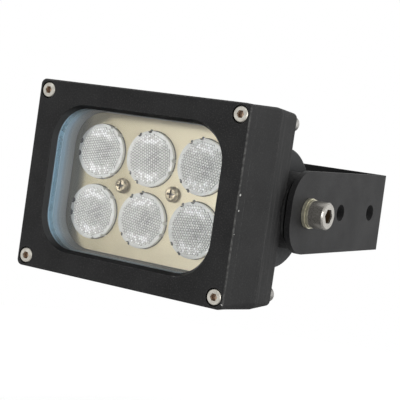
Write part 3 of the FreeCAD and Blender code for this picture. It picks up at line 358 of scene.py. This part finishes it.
# A pale line along the front's right and top edges: partly paint wear, partly a painted highlight
# where the rounded edge catches the light
def wearAndHighlightFrontEdges(tree, base, parts, marks, patchy, wornAndHighlight):
    side = between(tree, parts[0], *marks["sideEdge"])
    top = between(tree, parts[2], *marks["topEdge"], 0.0, marks["topShare"])
    edges = sums(tree, "MAXIMUM", side, top)
    edges = times(tree, edges, between(tree, parts[1], *marks["edgeDepth"]))
    edges = times(tree, edges, between(tree, patchy, 0.0, 1.0, *marks["edgeWearAndHighlight"]))
    return mixColours(tree, edges, base, wornAndHighlight)


# Small pale chips with a ragged outline
def chipCoat(tree, base, height, place, marks):
    ragged = noise(tree, place, marks["raggedSize"], result="Color")
    ragged = vectorSums(tree, "SUBTRACT", ragged, (0.5, 0.5, 0.5))
    ragged = vectorSums(tree, "MULTIPLY", ragged, [marks["raggedShift"]] * 3)
    spot = vectorSums(tree, "ADD", place, ragged)
    for point, radius in marks["chips"]:
        chipped = nearPoint(tree, spot, point, radius, radius * marks["chipSoft"])
        base = mixColours(tree, chipped, base, marks["chip"])
        height = sums(tree, "SUBTRACT", height, chipped)
    return base, height


def makeCoat(name, look, marks=None):
    material, tree, shader = newFinish(name)
    place = headCoordinates(tree) if marks else objectPlace(tree)
    fine = noise(tree, place, look["grain"], detail=3.0)
    wornAndHighlight = look["wornAndHighlight"]
    tones = noise(tree, place, look["toneSize"])
    base = mixColours(tree, spread(tree, tones), look["front"], look["light"])
    base = mixColours(tree, between(tree, fine, *look["fleckSpan"], 0.0, look["fleck"]), base, wornAndHighlight)
    patches = noise(tree, place, look["patchSize"], detail=4.0)
    patchy = between(tree, patches, *look["patchSpan"])
    rubbed = edgeShare(tree, look["edgeWidth"], look["edgeTurn"])
    rubbed = times(tree, rubbed, times(tree, patchy, look["rubbed"]))
    base = mixColours(tree, rubbed, base, wornAndHighlight)
    height = fine
    if marks:
        parts = axes(tree, place)
        base = shadeWindow(tree, base, parts, marks)
        base = streakSides(tree, base, place, parts, marks, wornAndHighlight)
        base = wearAndHighlightFrontEdges(tree, base, parts, marks, patchy, wornAndHighlight)
        base, height = chipCoat(tree, base, height, place, marks)
    setShader(
        tree, shader, base=base, shine=look["shine"], rough=spread(tree, fine, *look["rough"]),
        normal=bump(tree, height, look["relief"]),
    )
    return material


headCoat = makeCoat("headPowderCoat", coatSet, markSet)
bracketCoat = makeCoat("bracketPowderCoat", bracketLitSet)
print("painted finishes ready")


# Screws, bolts and washers. Where a socket shows, dark grime lies in it: "along" is the screw's
# axis, "mouth" the socket's place on it and "centre" its place across it.
steelSet = {
    "grain": 0.0018,
    "toneSpan": (0.35, 0.7),
    "scuffSize": 0.0008,
    "scuffScale": (1, 6, 1),
    "grimeDepth": (0.0002, 0.0006),
    "grimeSoft": 0.0001,
    "grimeMetal": 0.15,
}
fastenerSets = {
    "bezelScrewSteel": {
        "low": (0.44, 0.42, 0.375), "high": (0.62, 0.60, 0.54), "grime": (0.40, 0.29, 0.21),
        "along": "y", "mouth": 0.0, "centre": (0.0416, 0.0, 0.031), "socket": 0.0019,
        "rough": (0.30, 0.42), "metal": 0.95, "relief": 0.000004,
    },
    "plateScrewBrass": {
        "low": (0.16, 0.135, 0.085), "high": (0.50, 0.43, 0.30), "grime": (0.02, 0.014, 0.01),
        "along": "y", "mouth": 0.0125, "centre": (0.01115, 0.0, 0.0), "socket": 0.0012,
        "rough": (0.3, 0.5), "metal": 0.6, "relief": 0.000004,
    },
    "coverScrewSteel": {
        "low": (0.20, 0.195, 0.185), "high": (0.32, 0.31, 0.29),
        "rough": (0.4, 0.52), "metal": 0.95, "relief": 0.000004,
    },
    "hingeBoltSteel": {
        "low": (0.31, 0.295, 0.27), "high": (0.35, 0.335, 0.305), "grime": (0.085, 0.055, 0.03),
        "along": "x", "mouth": 0.0573, "centre": (0.0, 0.0448, 0.0), "socket": 0.0030,
        "rough": (0.26, 0.30), "metal": 0.6, "relief": 0.0000008,
    },
    "washerSteel": {
        "low": (0.43, 0.41, 0.31), "high": (0.60, 0.575, 0.445),
        "rough": (0.32, 0.42), "metal": 0.5, "relief": 0.000002,
    },
}


def grimeShare(tree, place, look):
    parts = axes(tree, place)
    across, up = (sums(tree, "ABSOLUTE", parts[axis]) for axis in (0, 2))
    if look["along"] == "y":
        depth, inward = parts[1], 1
        folded = addNode(tree, "CombineXYZ", {0: across, 2: up}).outputs[0]
    else:
        depth, inward = across, -1
        folded = addNode(tree, "CombineXYZ", {1: parts[1], 2: parts[2]}).outputs[0]
    start, full = (look["mouth"] + inward * step for step in steelSet["grimeDepth"])
    ring = nearPoint(tree, folded, look["centre"], look["socket"], steelSet["grimeSoft"])
    return times(tree, between(tree, depth, start, full), ring)


def makeFastener(name, look):
    material, tree, shader = newFinish(name)
    place = headCoordinates(tree)
    grain = noise(tree, place, steelSet["grain"], detail=3.0)
    scuffs = noise(tree, stretched(tree, place, steelSet["scuffScale"]), steelSet["scuffSize"])
    base = mixColours(tree, between(tree, grain, *steelSet["toneSpan"]), look["low"], look["high"])
    metal = look["metal"]
    if "grime" in look:
        grime = grimeShare(tree, place, look)
        base = mixColours(tree, grime, base, look["grime"])
        metal = between(tree, grime, 0.0, 1.0, metal, steelSet["grimeMetal"])
    setShader(
        tree, shader, base=base, metal=metal, rough=spread(tree, scuffs, *look["rough"]),
        normal=bump(tree, grain, look["relief"]),
    )
    return material


fasteners = {name: makeFastener(name, look) for name, look in fastenerSets.items()}
print("fastener finishes ready")


# The window's seal: blue-grey at the sides, painted light in pale blue where it lies in shade
# behind the pane's edge, and painted shade along the top and bottom
sealSet = {
    "side": (0.315, 0.46, 0.58),
    # Painted shade along the top and bottom
    "flankShade": (0.07, 0.075, 0.075),
    "speck": (0.36, 0.40, 0.40),
    # Painted light behind the pane's edge
    "paneEdgeLight": (0.64, 0.87, 1.0),
    "paneDepth": ((0.0028, 0.0032), (0.0072, 0.00705)),
    "turnAt": (0.0212, 0.0266),
    "grain": 0.0006,
    "speckSpan": (0.4, 0.8),
    "speckShare": 0.2,
    "relief": 0.00001,
    "rough": 0.55,
    "shine": 0.3,
}


def makeSeal(look):
    material, tree, shader = newFinish("greySealRubber")
    place = headCoordinates(tree)
    parts = axes(tree, place)
    grain = noise(tree, place, look["grain"], detail=3.0)
    specks = between(tree, grain, *look["speckSpan"], 0.0, look["speckShare"])
    base = mixColours(tree, specks, look["side"], look["speck"])
    # painted light behind the pane's edge
    base = mixColours(tree, band(tree, parts[1], *look["paneDepth"]), base, look["paneEdgeLight"])
    # painted shade along the top and bottom
    turned = between(tree, sums(tree, "ABSOLUTE", parts[2]), *look["turnAt"])
    base = mixColours(tree, turned, base, look["flankShade"])
    setShader(
        tree, shader, base=base, rough=look["rough"], shine=look["shine"],
        normal=bump(tree, grain, look["relief"]),
    )
    return material


# Flat clear pane: lamps and soft bounces pass straight through it
windowSet = {
    "glass": (0.98, 0.98, 0.98), "bend": 1.46, "tint": (0.96, 0.96, 0.96),
    "smearSize": 0.02, "smearSpan": (0.4, 0.8), "smear": (0.0, 0.03),
}


def makeWindow(look):
    material, tree, shader = newFinish("windowPane")
    smear = noise(tree, headCoordinates(tree), look["smearSize"])
    setShader(
        tree, shader, base=colour(*look["glass"]), through=1.0, bend=look["bend"],
        rough=between(tree, smear, *look["smearSpan"], *look["smear"]),
    )
    rays = addNode(tree, "LightPath").outputs
    passed = sums(tree, "MAXIMUM", rays["Is Shadow Ray"], rays["Is Diffuse Ray"])
    letThrough(tree, shader, passed, look["tint"])
    return material


sealRubber = makeSeal(sealSet)
windowPane = makeWindow(windowSet)
print("seal and pane finishes ready")


# Places round the lenses, folded so that all six lie on one centre. Tick angles are in degrees.
lensSet = {
    "pitch": (0.0223, 0.0225),
    "radius": 0.0101,
    "firstColumn": (-0.0111, -0.0113),
    "firstTicks": (163, 190),
    "firstGrow": 1.3,
    "otherTicks": (98, 125, 218, 244),
    "tickSoft": 0.00008,
    "tickTop": (0.0224, 0.0222),
    "relief": 0.00001,
    "tint": (0.9, 0.9, 0.9),
}


def lensCoordinates(tree):
    parts = axes(tree, headCoordinates(tree))
    across, up = lensSet["pitch"]
    folded = {0: parts[0], 1: across / 2, 2: -across / 2}
    folded = addNode(tree, "Math", folded, operation="WRAP").outputs[0]
    risen = addNode(tree, "Math", {0: parts[2], 1: up, 2: 0.0}, operation="WRAP").outputs[0]
    local = {0: folded, 2: sums(tree, "SUBTRACT", risen, up / 2)}
    local = addNode(tree, "CombineXYZ", local).outputs[0]
    return local, between(tree, parts[0], *lensSet["firstColumn"])


# The small ticks at a lens's rim: where they are, and in which column
def tickShare(tree, reach, radius, shift=0.0):
    place, first = lensCoordinates(tree)
    columns = (
        (lensSet["firstTicks"], first, lensSet["firstGrow"]),
        (lensSet["otherTicks"], sums(tree, "SUBTRACT", 1.0, first), 1.0),
    )
    share = 0.0
    for angles, chosen, grow in columns:
        for angle in map(math.radians, angles):
            point = (reach * math.cos(angle) - shift, 0, reach * math.sin(angle))
            spot = nearPoint(tree, place, point, radius * grow, lensSet["tickSoft"])
            share = sums(tree, "MAXIMUM", share, times(tree, spot, chosen))
    height = sums(tree, "ABSOLUTE", axes(tree, headCoordinates(tree))[2])
    return times(tree, share, between(tree, height, *lensSet["tickTop"]))


lensSets = {
    "clearLensAcrylic": {
        "low": (0.72, 0.73, 0.71), "high": (0.82, 0.83, 0.805), "cloud": 0.003,
        "rough": (0.10, 0.18), "through": 0.3, "milk": 0.8, "coat": 0.6, "passes": 0.95,
        "beaded": False,
        # A dark line of painted shade at the foot, and dark ticks
        "speck": (0.05, 0.05, 0.05), "outline": 0.8, "footDepth": (0.0139, 0.0142),
        "footReach": (0.00998, 0.01006), "tick": 0.00085,
    },
    "beadedLensFace": {
        "low": (0.56, 0.565, 0.535), "high": (0.72, 0.725, 0.69), "cloud": 0.0011,
        "rough": (0.14, 0.24), "through": 0.2, "milk": 0.0, "coat": 0.8, "passes": 0.95,
        "beaded": True,
        # Painted shade in the hollows and the core; painted glints and lighter hollows in the arcs
        "speck": (0.04, 0.04, 0.04), "valleyShade": (0.13, 0.135, 0.13), "crown": (0.1, 0.7),
        "core": (0.0018, 0.0, 0.0), "coreReach": 0.0034, "coreSoft": 0.0014,
        "arc": (0.38, 0.38, 0.37), "arcTurn": (0.62, 0.9),
        "arcReach": ((0.0050, 0.0060), (0.0088, 0.0082)),
        "glint": (1.0, 1.0, 1.0), "glintLuck": (0.35, 0.5), "coreShadeLuck": (0.5, 0.4), "coreShade": 0.6,
    },
}
acrylicSet = {"bend": 1.49, "coatRough": 0.06, "milkDepth": 0.003, "milkRadius": (1, 1, 1)}


# Painted shade in the hollows between the beads, painted glints and lighter hollows in an arc above
# and below, and a duller core of painted shade
def paintBeads(tree, base, local, reach, look):
    rise = sums(tree, "ABSOLUTE", axes(tree, local)[2])
    steep = between(tree, sums(tree, "DIVIDE", rise, reach), *look["arcTurn"])
    arc = times(tree, steep, band(tree, reach, *look["arcReach"]))
    core = nearPoint(tree, local, look["core"], look["coreReach"], look["coreSoft"])
    beads = addNode(tree, "Attribute", attribute_name="crown").outputs["Color"]
    crown, luck = axes(tree, beads)[:2]
    # painted shade in the hollows, darker in the core, lighter in the arcs
    valleyShade = mixColours(tree, core, look["valleyShade"], look["speck"])
    valleyShade = mixColours(tree, arc, valleyShade, look["arc"])
    # painted glints on some beads in the arcs
    glint = times(tree, arc, between(tree, luck, *look["glintLuck"]))
    base = mixColours(tree, glint, base, look["glint"])
    # painted shade on some beads in the core
    coreShade = times(tree, core, between(tree, luck, *look["coreShadeLuck"], 0.0, look["coreShade"]))
    base = mixColours(tree, coreShade, base, look["arc"])
    return mixColours(tree, between(tree, crown, *look["crown"]), valleyShade, base)


# Painted shade as a dark line at the lens's foot, and its dark ticks
def paintRim(tree, base, place, reach, look):
    foot = between(tree, axes(tree, place)[1], *look["footDepth"])
    foot = times(tree, foot, between(tree, reach, *look["footReach"]))
    base = mixColours(tree, times(tree, foot, look["outline"]), base, look["speck"])
    return mixColours(tree, tickShare(tree, lensSet["radius"], look["tick"]), base, look["speck"])


def makeLens(name, look):
    material, tree, shader = newFinish(name)
    place = headCoordinates(tree)
    local = lensCoordinates(tree)[0]
    reach = vectorSums(tree, "LENGTH", local, result="Value")
    cloud = noise(tree, place, look["cloud"], detail=3.0)
    base = mixColours(tree, spread(tree, cloud), look["low"], look["high"])
    if look["beaded"]:
        base = paintBeads(tree, base, local, reach, look)
    else:
        base = paintRim(tree, base, place, reach, look)
    setShader(
        tree, shader, base=base, rough=spread(tree, cloud, *look["rough"]),
        normal=bump(tree, cloud, lensSet["relief"]), through=look["through"], coat=look["coat"],
        milk=look["milk"], **acrylicSet,
    )
    shadow = addNode(tree, "LightPath").outputs["Is Shadow Ray"]
    letThrough(tree, shader, times(tree, shadow, look["passes"]), lensSet["tint"])
    return material


lensFinishes = {name: makeLens(name, look) for name, look in lensSets.items()}
print("lens finishes ready")


# Cream plate: painted light towards the right, a painted shadow at its left end, dark in the slots
# beside the lenses
plateSet = {
    "low": (0.375, 0.335, 0.222), "high": (0.435, 0.39, 0.262),
    # Painted light towards the right, painted shadow at the left end
    "lightPool": (0.88, 0.80, 0.585), "lightPoolFrom": (-0.020, 0.034),
    "leftShadow": (0.13, 0.135, 0.11), "leftShadowFrom": (-0.0285, -0.0325),
    "slot": (0.03, 0.03, 0.03), "slotSize": 0.00065, "slotShift": 0.0006,
    "grain": 0.0009, "rough": (0.45, 0.6), "relief": 0.00003, "shine": 0.35,
}


def makePlate(look):
    material, tree, shader = newFinish("creamHolder")
    place = headCoordinates(tree)
    share, fine = mottle(tree, place, look["grain"])
    across = axes(tree, place)[0]
    base = mixColours(tree, share, look["low"], look["high"])
    # painted light towards the right, painted shadow at the left end
    base = mixColours(tree, between(tree, across, *look["lightPoolFrom"]), base, look["lightPool"])
    base = mixColours(tree, between(tree, across, *look["leftShadowFrom"]), base, look["leftShadow"])
    slots = tickShare(tree, lensSet["radius"], look["slotSize"], look["slotShift"])
    base = mixColours(tree, slots, base, look["slot"])
    setShader(
        tree, shader, base=base, shine=look["shine"], rough=spread(tree, fine, *look["rough"]),
        normal=bump(tree, fine, look["relief"]),
    )
    return material


creamHolder = makePlate(plateSet)

finishes = {
    "front_bezel": headCoat, "housing": headCoat, "rear_cover": headCoat, "bracket": bracketCoat,
    "bezel_screws": fasteners["bezelScrewSteel"], "plate_screws": fasteners["plateScrewBrass"],
    "cover_screws": fasteners["coverScrewSteel"], "cover_washers": fasteners["coverScrewSteel"],
    "hinge_bolt_right": fasteners["hingeBoltSteel"], "hinge_bolt_left": fasteners["hingeBoltSteel"],
    "flat_washers": fasteners["washerSteel"], "spring_washers": fasteners["washerSteel"],
    "window_glass": windowPane, "glass_seal": sealRubber, "lens_plate": creamHolder,
    "cover_seal": plain["blackRubber"], "gland_seal": plain["blackRubber"],
    "gland_washer": plain["nylonWasher"], "friction_washers": plain["nylonWasher"],
    "gland_body": plain["glandNylon"], "gland_nut": plain["glandNylon"],
    "led_board": plain["boardLaminate"], "heat_spreader": plain["spreaderMetal"],
    "plate_spacers": plain["spreaderMetal"], "spreader_screws": fasteners["coverScrewSteel"],
    "driver_board": plain["driverLaminate"], "driver_posts": plain["spreaderMetal"],
    "driver_screws": fasteners["coverScrewSteel"], "inductor": plain["blackRubber"],
    "capacitors": plain["capacitorSleeve"], "control_chip": plain["blackRubber"],
    "terminal_block": plain["terminalGreen"], "board_link": plain["glandNylon"],
}
for number in range(1, 7):
    finishes[f"lens_{number}"] = lensFinishes["clearLensAcrylic"]
    finishes[f"led_{number}"] = plain["emitterResin"]
for name, node in nodes.items():
    for slot in node.material_slots:
        slot.material = finishes[name]
print("finishes set on", len(nodes), "nodes")


# Moulded bead relief on each lens face. A bead's rings are shares of its width and of its height.
beadSet = {
    "pitch": 0.00105,
    "height": 0.00032,
    "rings": [(0.86, 0.45), (0.55, 0.82)],
    "reach": 0.0093,
    "foot": 0.00012,
    "face": 0.0128,
    "spareRows": 1.3,
    "merge": 0.02,
    "centres": [
        (-0.0223, 0.01125), (0.0, 0.01125), (0.0223, 0.01125),
        (-0.0223, -0.01125), (0.0, -0.01125), (0.0223, -0.01125),
    ],
    "turns": [12, 40, -8, 25, 52, 5],
    "seed": 7,
}


def topFace(bead):
    return max(bead.faces, key=lambda face: sum(v.co.z for v in face.verts) / len(face.verts))


def newPoints(made):
    return [part for part in made["geom"] if isinstance(part, bmesh.types.BMVert)]


def makeBead(size):
    side = size["pitch"] / math.sqrt(3)
    bead = bmesh.new()
    bmesh.ops.create_circle(bead, cap_ends=True, segments=6, radius=side)
    for share, rise in size["rings"]:
        top = topFace(bead)
        ring = newPoints(bmesh.ops.extrude_face_region(bead, geom=[top]))
        bmesh.ops.delete(bead, geom=[top], context="FACES_ONLY")
        reach = max(math.hypot(v.co.x, v.co.y) for v in ring)
        bmesh.ops.scale(bead, vec=(share * side / reach, share * side / reach, 1), verts=ring)
        for vertex in ring:
            vertex.co.z = rise * size["height"]
    middle = bmesh.ops.poke(bead, faces=[topFace(bead)])["verts"]
    lift = size["height"] * (1 - size["rings"][-1][1])
    bmesh.ops.translate(bead, vec=(0, 0, lift), verts=middle)
    mesh = bpy.data.meshes.new("bead")
    bead.to_mesh(mesh)
    bead.free()
    return mesh


# Beads in close-packed rows; each carries its height and a chance number in "crown"
def makeBeadSheet(size):
    bead = makeBead(size)
    sheet = bmesh.new()
    reach = size["reach"] - size["pitch"] / math.sqrt(3)
    rows = int(size["reach"] / size["pitch"] * size["spareRows"])
    sheet.verts.layers.float_color.new("crown")
    chance = random.Random(size["seed"])
    for row in range(-rows, rows + 1):
        for column in range(-rows, rows + 1):
            x = size["pitch"] * (column + row / 2)
            y = size["pitch"] * row * math.sqrt(3) / 2
            if math.hypot(x, y) > reach:
                continue
            before = len(sheet.verts)
            sheet.from_mesh(bead)
            sheet.verts.ensure_lookup_table()
            crown = sheet.verts.layers.float_color["crown"]
            luck = chance.random()
            for vertex in sheet.verts[before:]:
                vertex[crown] = (vertex.co.z / size["height"], luck, 0, 1)
            bmesh.ops.translate(sheet, vec=(x, y, 0), verts=sheet.verts[before:])
    bmesh.ops.remove_doubles(sheet, verts=sheet.verts[:], dist=size["pitch"] * size["merge"])
    for face in sheet.faces:
        face.smooth = True
    rim = [edge for edge in sheet.edges if edge.is_boundary]
    foot = newPoints(bmesh.ops.extrude_edge_only(sheet, edges=rim))
    bmesh.ops.translate(sheet, vec=(0, 0, -size["foot"]), verts=foot)
    bmesh.ops.contextual_create(sheet, geom=[edge for edge in sheet.edges if edge.is_boundary])
    bmesh.ops.recalc_face_normals(sheet, faces=sheet.faces[:])
    mesh = bpy.data.meshes.new("beadSheet")
    sheet.to_mesh(mesh)
    sheet.free()
    bpy.data.meshes.remove(bead)
    return mesh


def makeLensFaces(size):
    pattern = makeBeadSheet(size)
    for number, (x, z) in enumerate(size["centres"]):
        mesh = pattern.copy()
        turn = Matrix.Rotation(math.radians(size["turns"][number]), 4, "Z")
        stand = Matrix.Rotation(math.radians(90), 4, "X")
        mesh.transform(headPlace @ Matrix.Translation((x, size["face"], z)) @ stand @ turn)
        mesh.materials.append(lensFinishes["beadedLensFace"])
        piece = bpy.data.objects.new(f"lens_beads_{number + 1}", mesh)
        bpy.context.scene.collection.objects.link(piece)
        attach(piece, "head")
    print("lens beads:", len(pattern.polygons), "faces on each lens")
    bpy.data.meshes.remove(pattern)


makeLensFaces(beadSet)


# Studio: floor, world and lamps. A lamp has a name, place, size and power, and may show in gloss.
studioSet = {
    "floorDrop": -0.17,
    "floorReach": 0.62,
    "floorSides": 96,
    "floorColour": (0.80, 0.80, 0.80),
    "floorRough": 0.9,
    "floorShine": 0.1,
    "floorFade": (0.1, 0.589),
    "floorLift": (0.34, 1.0),
    "world": 0.13,
    "aim": (0, -0.07, 0),
    "lamps": [
        ("lampKey", (-0.42, -0.88, 0.17), 0.13, 6.4, False),
        ("lampFill", (0.80, -0.36, 0.12), 0.40, 3.2, True),
        ("lampAbove", (0.10, -0.10, 0.85), 0.60, 1.2, True),
        ("lampBack", (0.86, 0.52, 0.12), 0.90, 4.6, True),
    ],
}


# The camera sees the floor fade to white; the object is lit by its plain colour only
def makeFloor(look):
    mesh = bmesh.new()
    bmesh.ops.create_circle(
        mesh, cap_ends=True, segments=look["floorSides"], radius=look["floorReach"]
    )
    bmesh.ops.translate(mesh, vec=(0, 0, look["floorDrop"]), verts=mesh.verts[:])
    data = bpy.data.meshes.new("floor")
    mesh.to_mesh(data)
    mesh.free()
    floor = bpy.data.objects.new("floor", data)
    bpy.context.scene.collection.objects.link(floor)
    material, tree, shader = newFinish("paleFloor")
    flat = vectorSums(tree, "MULTIPLY", objectPlace(tree), (1, 1, 0))
    reach = vectorSums(tree, "LENGTH", flat, result="Value")
    lift = between(tree, reach, *look["floorFade"], *look["floorLift"])
    seen = times(tree, lift, addNode(tree, "LightPath").outputs["Is Camera Ray"])
    setShader(
        tree, shader, base=colour(*look["floorColour"]), rough=look["floorRough"],
        shine=look["floorShine"], glow=seen, glowColour=colour(1, 1, 1),
    )
    data.materials.append(material)


# The world looks white, and lights the object only softly
def makeWorld(look):
    world = bpy.data.worlds.new("studio")
    world.use_nodes = True
    bpy.context.scene.world = world
    tree = world.node_tree
    soft = tree.nodes["Background"]
    soft.inputs[0].default_value = colour(1, 1, 1)
    soft.inputs[1].default_value = look["world"]
    white = addNode(tree, "Background", {0: colour(1, 1, 1), 1: 1.0}).outputs[0]
    rays = addNode(tree, "LightPath").outputs
    seen = sums(tree, "MAXIMUM", rays["Is Camera Ray"], rays["Is Glossy Ray"])
    seen = sums(tree, "MAXIMUM", seen, rays["Is Transmission Ray"])
    both = addNode(tree, "MixShader", {0: seen, 1: soft.outputs[0], 2: white}).outputs[0]
    tree.links.new(both, tree.nodes["World Output"].inputs[0])


def makeLamps(look):
    for name, place, size, power, mirrored in look["lamps"]:
        data = bpy.data.lights.new(name, "AREA")
        data.size = size
        data.energy = power
        lamp = bpy.data.objects.new(name, data)
        bpy.context.scene.collection.objects.link(lamp)
        lamp.location = place
        lamp.visible_glossy = mirrored
        ahead = Vector(look["aim"]) - Vector(place)
        lamp.rotation_euler = ahead.to_track_quat("-Z", "Y").to_euler()


makeFloor(studioSet)
makeWorld(studioSet)
makeLamps(studioSet)
bpy.context.scene.view_settings.view_transform = "Standard"
print("studio ready")
